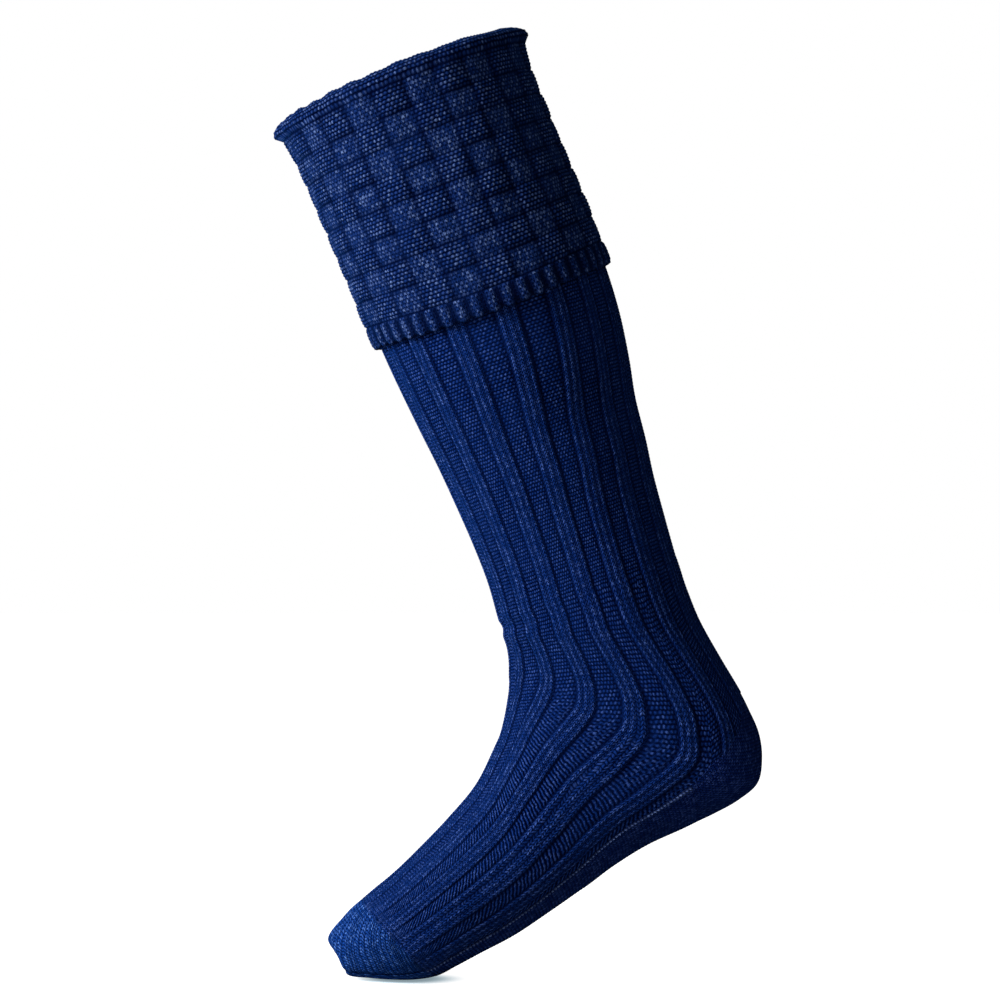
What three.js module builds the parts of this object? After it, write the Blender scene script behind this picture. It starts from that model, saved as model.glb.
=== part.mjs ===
// Kilt hose sock: a knee-high ribbed wool sock with a deep turned-over cuff, in the shape a leg
// gives it, heel raised and toe on the floor. Millimetres. The origin is the centre of the opening
// at the top fold. X runs from toe to heel, Y from side to side, Z up.
import * as THREE from 'three';

// Sizes of the leg
const legLength = 297;          // top fold to the ankle, along the leg
const legLean = 20.3;           // degrees the leg leans from upright
const calfDepth = 132;          // shin to calf, over the ribs
const calfWidth = 114;
const ankleDepth = 104;
const ankleWidth = 74;

// Sizes of the foot
const bendAhead = 83;           // centre line of the leg to the point that the ankle bends round
const soleReach = 156.4;        // bend point to the sole
const heelBulge = 42.6;         // how far the heel stands out of the bend
const instepHollow = 8.8;       // how far the front of the bend is pulled in
const instepHeight = 94.9;      // sole to the top of the instep, where the foot starts
const toeReach = 136.5;         // start of the foot to the toe tip
const footPitch = 29.1;         // degrees the sole slopes down to the toe
const waistWidth = 80;          // foot behind the ball
const heelWidth = 70;
const footWidth = 94;           // foot at the ball
const soleSquareness = 2.6;     // 2 is an ellipse, more is a flatter sole

// Knitted fabric
const fabricWall = 2;           // wall of the plain fabric and of the panels between the ribs
const ribRise = 1;              // ribs stand this far proud of the panels
const plainRise = 0.5;          // heel, sole and toe stand this far proud of the panels
const ribWidth = 8.8;
const ribSlope = 1.4;           // width of a rib's sloping side
const seamGap = 0.4;            // gap between neighbouring pieces

// Turned-over cuff
const cuffHeight = 133;         // top fold to the lower edge
const cuffWall = 3.4;
const cuffClearance = 0.6;      // cuff to the ribs under it
const foldDepth = 6;            // height of the roll at the top
const rimArch = 1.5;            // top fold stands higher at the sides of the leg
const rimRise = 4.5;            // and higher at the back than at the shin
const hemDrop = 5.3;            // lower edge hangs lower at the sides
const foldEar = 2.6;            // fold stands out at shin and calf
const earHeight = 9;            // how far down the ear dies away
const earSharpness = 10;        // more is a narrower ear
const hemBand = 12;             // plain band along the lower edge
const hemBandSlope = 1.8;       // height of the band's sloping top
const blockRise = 1.1;          // raised blocks over sunk ones
const blockColumns = 24;
const blockRows = 8;
const blockFlank = 0.22;        // share of a block that its sloping edge takes

// Layout of the ribs: one is on the shin line and one on the back line
const ribCount = 16;
const halfRibs = ribCount / 2;
const lastInstepRib = 5;
const instepEdge = 5.5;         // instep meets heel and sole here, counted in ribs from the shin line
const calfRibSpan = 122;        // degrees round from the shin line to the last instep rib
const ankleRibSpan = 109;
const footRibSpan = 123;
const calfCrowding = -0.16;     // negative draws the front ribs together
const ankleCrowding = 0.04;
const footCrowding = -0.2;

const plainColumns = 32;        // vertices round the plain toe

// Leg sections. at: share of legLength. fullness: 1 is the calf's size, 0 the ankle's.
// shift: how far the section's centre lies behind the axis, as a share of calfDepth.
const legSections = [
  { at: 0.00, fullness: 1.00, shift: 0.008 },
  { at: 0.13, fullness: 1.00, shift: 0.019 },
  { at: 0.28, fullness: 1.00, shift: 0.031 },
  { at: 0.43, fullness: 1.00, shift: 0.045 },
  { at: 0.49, fullness: 0.95, shift: 0.048 },
  { at: 0.56, fullness: 0.82, shift: 0.048 },
  { at: 0.63, fullness: 0.63, shift: 0.043 },
  { at: 0.70, fullness: 0.40, shift: 0.036 },
  { at: 0.78, fullness: 0.24, shift: 0.034 },
  { at: 0.85, fullness: 0.09, shift: 0.027 },
  { at: 0.93, fullness: 0.00, shift: 0.020 },
  { at: 1.00, fullness: 0.00, shift: 0.008 },
];

// Courses of the leg, under the one at the fold, as shares of legLength
const legCourses = [0.22, 0.43, 0.5, 0.57, 0.64, 0.71, 0.78, 0.86, 0.93];

// Ankle sections, fanned round the bend point. at: share of the turn from leg to foot.
// hollow: share of instepHollow. bulge: share of heelBulge. heel: 1 is the heel's width.
// sole: 1 is as square as the sole.
const ankleSections = [
  { at: 0.00, hollow: 0.00, bulge: 0.00, heel: 0.0, sole: 0.0 },
  { at: 0.10, hollow: 0.21, bulge: -0.03, heel: 0.1, sole: 0.0 },
  { at: 0.20, hollow: 0.60, bulge: 0.04, heel: 0.3, sole: 0.1 },
  { at: 0.30, hollow: 0.75, bulge: 0.27, heel: 0.6, sole: 0.3 },
  { at: 0.40, hollow: 0.89, bulge: 0.64, heel: 0.8, sole: 0.5 },
  { at: 0.45, hollow: 0.95, bulge: 0.84, heel: 0.9, sole: 0.6 },
  { at: 0.50, hollow: 1.00, bulge: 0.96, heel: 1.0, sole: 0.7 },
  { at: 0.55, hollow: 1.04, bulge: 1.00, heel: 1.0, sole: 0.8 },
  { at: 0.60, hollow: 1.05, bulge: 0.85, heel: 1.0, sole: 0.9 },
  { at: 0.65, hollow: 1.00, bulge: 0.65, heel: 0.9, sole: 0.9 },
  { at: 0.70, hollow: 0.95, bulge: 0.46, heel: 0.8, sole: 1.0 },
  { at: 0.80, hollow: 0.80, bulge: 0.16, heel: 0.5, sole: 1.0 },
  { at: 0.90, hollow: 0.48, bulge: 0.02, heel: 0.2, sole: 1.0 },
  { at: 1.00, hollow: 0.00, bulge: 0.00, heel: 0.0, sole: 1.0 },
];

// Foot sections, each from a top point to a sole point. topAt and soleAt: shares of toeReach.
// top and sole: heights above the sole line, as shares of instepHeight. width: share of footWidth
// over the waist's. The last rows close the toe round its tip. starts: the piece that starts there.
const footSections = [
  { at: 0.00, topAt: 0.000, top: 1.000, soleAt: 0.000, sole: 0.000, width: 0.85 },
  { at: 0.16, topAt: 0.162, top: 0.838, soleAt: 0.162, sole: -0.023, width: 0.88 },
  { at: 0.32, topAt: 0.324, top: 0.745, soleAt: 0.324, sole: -0.041, width: 0.94 },
  { at: 0.48, topAt: 0.486, top: 0.672, soleAt: 0.480, sole: -0.035, width: 1.00 },
  { at: 0.61, topAt: 0.640, top: 0.614, soleAt: 0.590, sole: -0.032, width: 0.99 },
  { at: 0.72, topAt: 0.794, top: 0.576, soleAt: 0.680, sole: -0.025, width: 0.93, starts: 'toe' },
  { at: 0.79, topAt: 0.858, top: 0.557, soleAt: 0.760, sole: 0.015, width: 0.82 },
  { at: 0.85, topAt: 0.907, top: 0.533, soleAt: 0.840, sole: 0.077, width: 0.70 },
  { at: 0.90, topAt: 0.947, top: 0.513, soleAt: 0.923, sole: 0.153, width: 0.56 },
  { at: 0.94, topAt: 0.976, top: 0.493, soleAt: 0.992, sole: 0.227, width: 0.40 },
  { at: 0.97, topAt: 0.992, top: 0.474, soleAt: 0.976, sole: 0.289, width: 0.25 },
  { at: 0.99, topAt: 0.998, top: 0.452, soleAt: 0.996, sole: 0.370, width: 0.12 },
  { at: 1.00, topAt: 1.000, top: 0.412, soleAt: 1.000, sole: 0.412, width: 0.00 },
];

// Courses of the ankle, which fan out from the instep to the heel. Each is a share of the turn on
// the shin line, at the instep's edge and on the back line. ends: the piece that ends there.
const ankleCourses = [
  { front: 0.13, side: 0.15, back: 0.10 },
  { front: 0.26, side: 0.30, back: 0.20 },
  { front: 0.37, side: 0.43, back: 0.29 },
  { front: 0.46, side: 0.55, back: 0.37, ends: 'leg' },
  { front: 0.51, side: 0.57, back: 0.45 },
  { front: 0.56, side: 0.58, back: 0.52 },
  { front: 0.62, side: 0.60, back: 0.60 },
  { front: 0.69, side: 0.62, back: 0.69, ends: 'heel' },
  { front: 0.79, side: 0.74, back: 0.79 },
  { front: 0.89, side: 0.87, back: 0.89 },
];

// Fold of the cuff, from its outside over the top to its inside. drop: share of foldDepth under
// the rim. stand: 1 is the cuff's outside, 0 the outside of the ribs, -1 the inside of the leg.
const foldSections = [
  { drop: 0.62, stand: 1.00 },
  { drop: 0.25, stand: 0.90 },
  { drop: 0.05, stand: 0.55 },
  { drop: 0.00, stand: 0.10 },
  { drop: 0.10, stand: -0.45 },
  { drop: 0.42, stand: -0.90 },
  { drop: 1.00, stand: -1.00 },
];
const cuffInsideRows = [0.5, 1];

const knit = {
  cuff: 0x142a5e,
  leg: 0x15306b,
  instep: 0x173472,
  heel: 0x0f2352,
  sole: 0x0e204b,
  toe: 0x1a3a7c,
};
const knitRoughness = 0.92;
const knitMetalness = 0;

const radians = THREE.MathUtils.degToRad;
const mix = THREE.MathUtils.lerp;

// Smooth curve through one column of a table
function readTable(table, at, column) {
  const last = table.length - 1;
  let row = 0;
  while (row < last - 1 && at > table[row + 1].at) row += 1;
  const slope = (index) => {
    const before = table[Math.max(index - 1, 0)];
    const after = table[Math.min(index + 1, last)];
    return (after[column] - before[column]) / (after.at - before.at);
  };
  const from = table[row];
  const to = table[row + 1];
  const span = to.at - from.at;
  const t = (at - from.at) / span;
  const ease = t * t * (3 - 2 * t);
  const leave = t * (1 - t) * (1 - t) * span * slope(row);
  const arrive = t * t * (t - 1) * span * slope(row + 1);
  return mix(from[column], to[column], ease) + leave + arrive;
}

// Directions in the side view
function sideDirection(degrees) {
  return new THREE.Vector3(Math.cos(radians(degrees)), 0, Math.sin(radians(degrees)));
}
const legBack = sideDirection(legLean);
const legDown = sideDirection(legLean - 90);
const footForward = sideDirection(180 + footPitch);
const footUp = sideDirection(90 + footPitch);
const turnAngle = legLean + 90 - footPitch;
const bendPoint = legDown.clone().multiplyScalar(legLength).addScaledVector(legBack, -bendAhead);
const soleStart = bendPoint.clone().addScaledVector(footUp, -soleReach);

// A section is a front point, a back point, a half width, how square its back is, and the ribs' spacing
function legSection(at) {
  const fullness = readTable(legSections, at, 'fullness');
  const halfDepth = mix(ankleDepth, calfDepth, fullness) / 2;
  const centre = legDown.clone().multiplyScalar(at * legLength);
  centre.addScaledVector(legBack, readTable(legSections, at, 'shift') * calfDepth);
  return {
    front: centre.clone().addScaledVector(legBack, -halfDepth),
    back: centre.clone().addScaledVector(legBack, halfDepth),
    halfWidth: mix(ankleWidth, calfWidth, fullness) / 2,
    square: 2,
    ribSpan: mix(ankleRibSpan, calfRibSpan, fullness),
    crowding: mix(ankleCrowding, calfCrowding, fullness),
  };
}

function ankleSection(at) {
  const start = legSection(1);
  const frontStart = start.front.distanceTo(bendPoint);
  const backStart = start.back.distanceTo(bendPoint);
  const hollow = readTable(ankleSections, at, 'hollow') * instepHollow;
  const bulge = readTable(ankleSections, at, 'bulge') * heelBulge;
  const direction = sideDirection(legLean - at * turnAngle);
  const width = mix(ankleWidth, waistWidth, at);
  const footing = Math.max(0, 2 * at - 1);
  const frontReach = mix(frontStart, soleReach - instepHeight, at) - hollow;
  const backReach = mix(backStart, soleReach, at) + bulge;
  return {
    front: bendPoint.clone().addScaledVector(direction, frontReach),
    back: bendPoint.clone().addScaledVector(direction, backReach),
    halfWidth: mix(width, heelWidth, readTable(ankleSections, at, 'heel')) / 2,
    square: mix(2, soleSquareness, readTable(ankleSections, at, 'sole')),
    ribSpan: mix(ankleRibSpan, footRibSpan, footing),
    crowding: mix(ankleCrowding, footCrowding, footing),
  };
}

function footSection(at) {
  const place = (along, height) => soleStart.clone()
    .addScaledVector(footForward, readTable(footSections, at, along) * toeReach)
    .addScaledVector(footUp, readTable(footSections, at, height) * instepHeight);
  const startShare = footSections[0].width;
  const share = readTable(footSections, at, 'width');
  const ball = (share - startShare) / (1 - startShare);
  const width = share < startShare ? share * waistWidth / startShare : mix(waistWidth, footWidth, ball);
  return {
    front: place('topAt', 'top'),
    back: place('soleAt', 'sole'),
    halfWidth: width / 2,
    square: soleSquareness,
    ribSpan: footRibSpan,
    crowding: footCrowding,
  };
}

// along: 0 to 1 down the leg, 1 to 2 round the ankle, 2 to 3 along the foot
function sectionAt(along) {
  if (along <= 1) return legSection(along);
  if (along <= 2) return ankleSection(along - 1);
  return footSection(Math.min(along - 2, 1));
}

// Angle round a section of a place counted in ribs from the shin line
function ribAngle(section, rib) {
  const place = rib > halfRibs ? rib - ribCount : rib;
  const count = Math.abs(place);
  const share = count / lastInstepRib;
  const front = section.ribSpan * (share + section.crowding * share * (1 - share));
  const behind = (count - lastInstepRib) / (halfRibs - lastInstepRib);
  const angle = count < lastInstepRib ? front : mix(section.ribSpan, 180, behind);
  return radians(angle) * Math.sign(place);
}

function pointOnSection(section, angle) {
  const power = Math.cos(angle) > 0 ? 1 : 2 / section.square;
  const round = (value) => Math.sign(value) * Math.abs(value) ** power;
  const halfDepth = section.back.clone().sub(section.front).multiplyScalar(0.5);
  const point = section.front.clone().add(halfDepth);
  point.addScaledVector(halfDepth, -round(Math.cos(angle)));
  point.y += section.halfWidth * round(Math.sin(angle));
  return point;
}

// Point on the outside of the ribs, moved outwards by stand
const step = 0.002;
function standOff(pointAt, across, along, stand) {
  const point = pointAt(across, along);
  const acrossStep = pointAt(across + step, along).sub(pointAt(across - step, along));
  const alongStep = pointAt(across, along + step).sub(pointAt(across, along - step));
  return point.addScaledVector(acrossStep.cross(alongStep).normalize(), stand);
}
function bodyPoint(rib, along, stand) {
  const pointAt = (across, down) => {
    const section = sectionAt(down);
    return pointOnSection(section, ribAngle(section, across));
  };
  return standOff(pointAt, rib, along, stand);
}

// Closed body from the listed cells of a grid: an outer and an inner skin, and a wall on each open edge
function fabricGeometry({ columnCount, rowCount, hasCell, outer, inner, closedTip }) {
  const positions = [];
  const indices = [];
  const known = new Map();
  const vertex = (skin, column, row) => {
    const wrapped = (column + columnCount) % columnCount;
    const isTip = closedTip && row === rowCount - 1;
    const key = `${skin === outer} ${isTip ? 0 : wrapped} ${row}`;
    if (!known.has(key)) {
      known.set(key, positions.length / 3);
      positions.push(...skin(isTip ? 0 : wrapped, row).toArray());
    }
    return known.get(key);
  };
  const triangle = (a, b, c) => {
    if (a !== b && b !== c && c !== a) indices.push(a, b, c);
  };
  const quad = (a, b, c, d) => {
    triangle(a, b, c);
    triangle(a, c, d);
  };
  const filled = (column, row) => row >= 0 && row < rowCount - 1
    && hasCell((column + columnCount) % columnCount, row);
  const wall = (columnA, rowA, columnB, rowB) => quad(
    vertex(outer, columnA, rowA), vertex(outer, columnB, rowB),
    vertex(inner, columnB, rowB), vertex(inner, columnA, rowA),
  );
  for (let row = 0; row < rowCount - 1; row += 1) {
    for (let column = 0; column < columnCount; column += 1) {
      if (!filled(column, row)) continue;
      const next = column + 1;
      quad(vertex(outer, column, row), vertex(outer, next, row),
        vertex(outer, next, row + 1), vertex(outer, column, row + 1));
      quad(vertex(inner, column, row + 1), vertex(inner, next, row + 1),
        vertex(inner, next, row), vertex(inner, column, row));
      if (!filled(column, row - 1)) wall(next, row, column, row);
      const endsInTip = closedTip && row === rowCount - 2;
      if (!filled(column, row + 1) && !endsInTip) wall(column, row + 1, next, row + 1);
      if (!filled(column - 1, row)) wall(column, row, column, row + 1);
      if (!filled(column + 1, row)) wall(next, row + 1, next, row);
    }
  }
  const geometry = new THREE.BufferGeometry();
  geometry.setAttribute('position', new THREE.Float32BufferAttribute(positions, 3));
  geometry.setIndex(indices);
  geometry.computeVertexNormals();
  return geometry;
}

function knitMesh(name, geometry, color) {
  const finish = { color, roughness: knitRoughness, metalness: knitMetalness };
  const material = new THREE.MeshStandardMaterial(finish);
  const mesh = new THREE.Mesh(geometry, material);
  mesh.name = name;
  return mesh;
}

// Top fold and lower edge of the cuff, as distances along the leg at an angle round it
function rimLevel(angle) {
  return -rimArch * Math.sin(angle) ** 2 - rimRise * (1 - Math.cos(angle)) / 2;
}
function hemLevel(angle) {
  return cuffHeight + hemDrop * Math.sin(angle) ** 2;
}

// Length of one rib pitch at a place
function ribPitch(section) {
  const halfDepth = section.front.distanceTo(section.back) / 2;
  return 2 * Math.PI * Math.hypot(halfDepth, section.halfWidth) / Math.SQRT2 / ribCount;
}

// Columns of the body: four to a rib, and two on each side where the instep meets heel and sole
const columnSpread = 0.25;
const columns = [];
for (let rib = 1 - halfRibs; rib <= halfRibs; rib += 1) {
  columns.push({ rib, side: -1, foot: true }, { rib, side: -1 });
  columns.push({ rib, side: 1 }, { rib, side: 1, foot: true });
  if (rib === lastInstepRib || rib === -1 - lastInstepRib) {
    const edge = Math.sign(rib) * instepEdge;
    columns.push({ edge, side: -1 }, { edge, side: 1 });
  }
}
function columnPlace(column, along) {
  const pitch = ribPitch(sectionAt(along));
  if (column.edge !== undefined) return column.edge + column.side * seamGap / 2 / pitch;
  const reach = ribWidth / 2 - (column.foot ? 0 : ribSlope);
  return column.rib + column.side * reach / pitch;
}

// Courses of the body, from the cuff's fold to the start of the toe
const seamShare = { leg: seamGap / legLength, foot: seamGap / toeReach };
const turnShare = seamGap / (soleReach * radians(turnAngle));
function evenCourse(along) {
  return { front: along, side: along, back: along };
}
const courses = [];
const endRow = {};
const topCourse = (foldDepth + seamGap) / legLength;
courses.push({ ...evenCourse(topCourse), underFold: true });
for (const share of legCourses) courses.push(evenCourse(share));
const ankleRow = courses.push(evenCourse(1 - seamShare.leg)) - 1;
courses.push(evenCourse(1));
ankleCourses.forEach((turn, index) => {
  const course = { front: 1 + turn.front, side: 1 + turn.side, back: 1 + turn.back };
  courses.push(course);
  if (!turn.ends) return;
  endRow[turn.ends] = courses.length - 1;
  const halfway = 1 + (turn.front + ankleCourses[index + 1].front) / 2;
  courses.push({ front: halfway, side: course.side + turnShare, back: course.back + turnShare });
});
courses.push(evenCourse(2));
const toeStart = footSections.findIndex((section) => section.starts === 'toe');
for (const section of footSections.slice(1, toeStart)) courses.push(evenCourse(2 + section.at));
endRow.foot = courses.push(evenCourse(2 + footSections[toeStart].at - seamShare.foot)) - 1;

function coursePlace(course, column) {
  const rib = Math.abs(column.edge ?? (column.rib + column.side * columnSpread));
  const place = rib > halfRibs ? ribCount - rib : rib;
  if (place < instepEdge) return mix(course.front, course.side, (place / instepEdge) ** 2);
  const behind = (place - instepEdge) / (halfRibs - instepEdge);
  return mix(course.side, course.back, Math.sin(behind * Math.PI / 2));
}
function bodySkin(standAt) {
  return (columnIndex, row) => {
    const column = columns[columnIndex];
    let along = coursePlace(courses[row], column);
    const place = columnPlace(column, along);
    if (courses[row].underFold) along += rimLevel(ribAngle(sectionAt(along), place)) / legLength;
    return bodyPoint(place, along, standAt(column));
  };
}
const ribbedStand = (column) => (column.edge === undefined && !column.foot ? 0 : -ribRise);
const plainStand = () => plainRise - ribRise;
const insideStand = () => -ribRise - fabricWall;

// Cells of the grid that each piece takes. A cell is named by its left column and upper course.
const edgeColumns = [...columns.keys()].filter((index) => columns[index].edge !== undefined);
const [farOuter, farInner, nearInner, nearOuter] = edgeColumns;
const onInstep = (column) => column >= farInner && column < nearInner;
const behindInstep = (column) => column < farOuter || column >= nearOuter;

function bodyPiece(name, color, stand, hasCell) {
  const geometry = fabricGeometry({
    columnCount: columns.length,
    rowCount: courses.length,
    hasCell,
    outer: bodySkin(stand),
    inner: bodySkin(insideStand),
  });
  return knitMesh(name, geometry, color);
}

const leg = bodyPiece('leg', knit.leg, ribbedStand, (column, row) => row < ankleRow
  || (behindInstep(column) && row < endRow.leg));
const instep = bodyPiece('instep', knit.instep, ribbedStand, (column, row) => onInstep(column)
  && row > ankleRow && row < endRow.foot);
const heel = bodyPiece('heel', knit.heel, plainStand, (column, row) => behindInstep(column)
  && row > endRow.leg && row < endRow.heel);
const sole = bodyPiece('sole', knit.sole, plainStand, (column, row) => behindInstep(column)
  && row > endRow.heel && row < endRow.foot);

// Toe: a closed cap from the last course of the foot to the tip
function toeSkin(stand) {
  return (column, row) => {
    const section = footSections[toeStart + row];
    const tip = section.at === 1;
    if (tip) return footSection(1).front.addScaledVector(footForward, stand);
    return bodyPoint((column / plainColumns - 0.5) * ribCount, 2 + section.at, stand);
  };
}
const toe = knitMesh('toe', fabricGeometry({
  columnCount: plainColumns,
  rowCount: footSections.length - toeStart,
  hasCell: () => true,
  outer: toeSkin(plainStand()),
  inner: toeSkin(insideStand()),
  closedTip: true,
}), knit.toe);

// Cuff: a closed outline swept once round the leg, with blocks of knitting raised and sunk in turn
const blockPlaces = [blockFlank, 1 - blockFlank];
function cuffPoint(angle, distance, stand) {
  const pointAt = (across, along) => pointOnSection(legSection(along), across);
  return standOff(pointAt, angle, distance / legLength, stand);
}
function earStand(angle, depth) {
  return foldEar * Math.abs(Math.cos(angle)) ** earSharpness * Math.exp(-Math.max(depth, 0) / earHeight);
}
function cuffGeometry() {
  const outside = cuffClearance + cuffWall;
  const standOf = (share) => (share > 0 ? share * outside : share * (ribRise + fabricWall));
  const outline = [];
  for (const fold of [...foldSections].reverse()) {
    outline.push((angle) => {
      const ear = fold.stand > 0 ? fold.stand * earStand(angle, 0) : 0;
      return [rimLevel(angle) + fold.drop * foldDepth, standOf(fold.stand) + ear];
    });
  }
  for (let blockRow = 0; blockRow < blockRows; blockRow += 1) {
    for (const place of blockPlaces) {
      outline.push((angle, blockColumn) => {
        const top = rimLevel(angle) + foldDepth;
        const bottom = hemLevel(angle) - hemBand;
        const distance = mix(top, bottom, (blockRow + place) / blockRows);
        const raised = (blockRow + blockColumn) % 2 === 0;
        return [distance, outside + (raised ? 0 : -blockRise) + earStand(angle, distance - rimLevel(angle))];
      });
    }
  }
  outline.push((angle) => [hemLevel(angle) - hemBand + hemBandSlope, outside - blockRise / 2]);
  outline.push((angle) => [hemLevel(angle), outside - blockRise / 2]);
  for (const share of [...cuffInsideRows].reverse()) {
    outline.push((angle) => [mix(rimLevel(angle) + foldDepth, hemLevel(angle), share), cuffClearance]);
  }
  outline.push((angle) => [rimLevel(angle) + foldDepth, cuffClearance]);
  const positions = [];
  const indices = [];
  const columnCount = blockColumns * blockPlaces.length;
  for (let column = 0; column < columnCount; column += 1) {
    const blockColumn = Math.floor(column / blockPlaces.length);
    const angle = 2 * Math.PI * (blockColumn + blockPlaces[column % blockPlaces.length]) / blockColumns;
    for (const place of outline) positions.push(...cuffPoint(angle, ...place(angle, blockColumn)).toArray());
  }
  for (let column = 0; column < columnCount; column += 1) {
    const here = column * outline.length;
    const next = ((column + 1) % columnCount) * outline.length;
    for (let row = 0; row < outline.length; row += 1) {
      const below = (row + 1) % outline.length;
      indices.push(here + row, next + row, next + below, here + row, next + below, here + below);
    }
  }
  const geometry = new THREE.BufferGeometry();
  geometry.setAttribute('position', new THREE.Float32BufferAttribute(positions, 3));
  geometry.setIndex(indices);
  geometry.computeVertexNormals();
  return geometry;
}
const turnoverCuff = knitMesh('turnover_cuff', cuffGeometry(), knit.cuff);

const sock = new THREE.Group();
sock.name = 'kilt_hose_sock';
sock.add(turnoverCuff, leg, heel, instep, sole, toe);

export default sock;
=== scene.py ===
import math

import bpy
import numpy as np
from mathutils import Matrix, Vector


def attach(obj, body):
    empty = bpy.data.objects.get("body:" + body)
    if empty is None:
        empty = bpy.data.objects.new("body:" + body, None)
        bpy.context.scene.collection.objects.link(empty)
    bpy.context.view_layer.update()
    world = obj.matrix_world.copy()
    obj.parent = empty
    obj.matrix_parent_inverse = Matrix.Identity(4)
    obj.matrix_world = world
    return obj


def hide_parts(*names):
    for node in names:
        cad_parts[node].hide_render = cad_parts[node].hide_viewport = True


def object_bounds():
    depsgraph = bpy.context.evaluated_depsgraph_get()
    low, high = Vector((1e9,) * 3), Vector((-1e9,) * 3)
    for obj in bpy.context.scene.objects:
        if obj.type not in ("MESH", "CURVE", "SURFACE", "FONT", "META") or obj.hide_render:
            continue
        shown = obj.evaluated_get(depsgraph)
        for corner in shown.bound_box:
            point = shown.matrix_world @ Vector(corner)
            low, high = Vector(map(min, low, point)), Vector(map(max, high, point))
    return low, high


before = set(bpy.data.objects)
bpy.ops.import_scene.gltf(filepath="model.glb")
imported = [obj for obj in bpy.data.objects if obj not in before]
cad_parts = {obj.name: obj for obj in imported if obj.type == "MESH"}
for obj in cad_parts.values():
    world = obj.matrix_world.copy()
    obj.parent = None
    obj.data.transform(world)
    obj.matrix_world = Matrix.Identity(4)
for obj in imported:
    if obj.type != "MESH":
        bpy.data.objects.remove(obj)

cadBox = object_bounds()
print("frame loaded:", len(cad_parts), "knitted pieces")

# camera: level, from the side that the photograph shows
view = {"middle": (0.0561, 0.0, -0.2299), "distance": 2.5, "widthSeen": 0.55, "sensor": 36}

middle = Vector(view["middle"])
cameraPlace = middle - Vector((0, view["distance"], 0))
bpy.ops.object.camera_add(location=cameraPlace, rotation=(math.pi / 2, 0, 0))
camera = bpy.context.object
camera.name = "side_camera"
camera.data.sensor_width = view["sensor"]
camera.data.lens = view["sensor"] * view["distance"] / view["widthSeen"]
bpy.context.scene.camera = camera

# sizes of the sock on its leg, in metres and degrees
sock = {
    "legLength": 0.297, "legLean": 20.3, "calfDepth": 0.132, "calfWidth": 0.114,
    "ankleDepth": 0.104, "ankleWidth": 0.074, "bendAhead": 0.083, "soleReach": 0.1564,
    "heelBulge": 0.0426, "instepHollow": 0.0088, "instepHeight": 0.0949, "toeReach": 0.1365,
    "footPitch": 29.1, "waistWidth": 0.080, "heelWidth": 0.070, "footWidth": 0.094,
    "legSquareness": 2.0, "soleSquareness": 2.6, "fabricWall": 0.002, "ribRise": 0.001,
    "plainRise": 0.0005, "ribWidth": 0.0088, "calfRibSpan": 122, "ankleRibSpan": 109,
    "footRibSpan": 123, "calfCrowding": -0.16, "ankleCrowding": 0.04, "footCrowding": -0.2,
}
insideDepth = sock["ribRise"] + sock["fabricWall"]
ribCount = 16
lastInstepRib = 5
instepEdge = 5.5        # instep meets heel and sole here, counted in ribs from the shin line
walesPerRib = 12        # five in the rib, seven in the hollow after it
halfRib = 2.5           # in wales
edgeWale = instepEdge * walesPerRib
backWale = ribCount * walesPerRib / 2
courseHeight = 0.00193
legEnd = {"side": 0.55, "back": 0.37}       # shares of the way round the ankle
heelEnd = {"side": 0.62, "back": 0.69}
toeStart = 2.72         # counted as in sectionAt

# the meshes have a point at each half stitch outside, and fewer inside
stitchStep = 0.5
liningStep = 6
endGuard = 0.1          # keeps the last point of a row
tiny = 1e-6
millimetre = 0.001

legTable = {
    "at": (0, .13, .28, .43, .49, .56, .63, .70, .78, .85, .93, 1),
    "fullness": (1, 1, 1, 1, .95, .82, .63, .40, .24, .09, 0, 0),
    "shift": (.008, .019, .031, .045, .048, .048, .043, .036, .034, .027, .020, .008),
}
ankleTable = {
    "at": (0, .1, .2, .3, .4, .45, .5, .55, .6, .65, .7, .8, .9, 1),
    "hollow": (0, .21, .60, .75, .89, .95, 1, 1.04, 1.05, 1, .95, .80, .48, 0),
    "bulge": (0, -.03, .04, .27, .64, .84, .96, 1, .85, .65, .46, .16, .02, 0),
    "heel": (0, .1, .3, .6, .8, .9, 1, 1, 1, .9, .8, .5, .2, 0),
    "sole": (0, 0, .1, .3, .5, .6, .7, .8, .9, .9, 1, 1, 1, 1),
}
footTable = {
    "at": (0, .16, .32, .48, .61, .72, .79, .85, .90, .94, .97, .99, 1),
    "topAt": (0, .162, .324, .486, .640, .794, .858, .907, .947, .976, .992, .998, 1),
    "top": (1, .838, .745, .672, .614, .576, .557, .533, .513, .493, .474, .452, .412),
    "soleAt": (0, .162, .324, .480, .590, .680, .760, .840, .923, .992, .976, .996, 1),
    "sole": (0, -.023, -.041, -.035, -.032, -.025, .015, .077, .153, .227, .289, .370, .412),
    "width": (.85, .88, .94, 1, .99, .93, .82, .70, .56, .40, .25, .12, 0),
}


def mix(low, high, share):
    return low + (high - low) * share


def follow(table, column, at):
    # smooth curve through one column
    places, values = np.array(table["at"], float), np.array(table[column], float)
    last = len(places) - 1
    order = np.arange(len(places))
    before, after = np.maximum(order - 1, 0), np.minimum(order + 1, last)
    slope = (values[after] - values[before]) / (places[after] - places[before])
    row = np.searchsorted(places[1:last], at, side="left")
    span = places[row + 1] - places[row]
    t = (at - places[row]) / span
    ease = t * t * (3 - 2 * t)
    leave = t * (1 - t) ** 2 * span * slope[row]
    arrive = t * t * (t - 1) * span * slope[row + 1]
    return mix(values[row], values[row + 1], ease) + leave + arrive


def sideways(degrees):
    turn = np.radians(degrees)
    return np.stack([np.cos(turn), np.sin(turn)], axis=-1)


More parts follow.
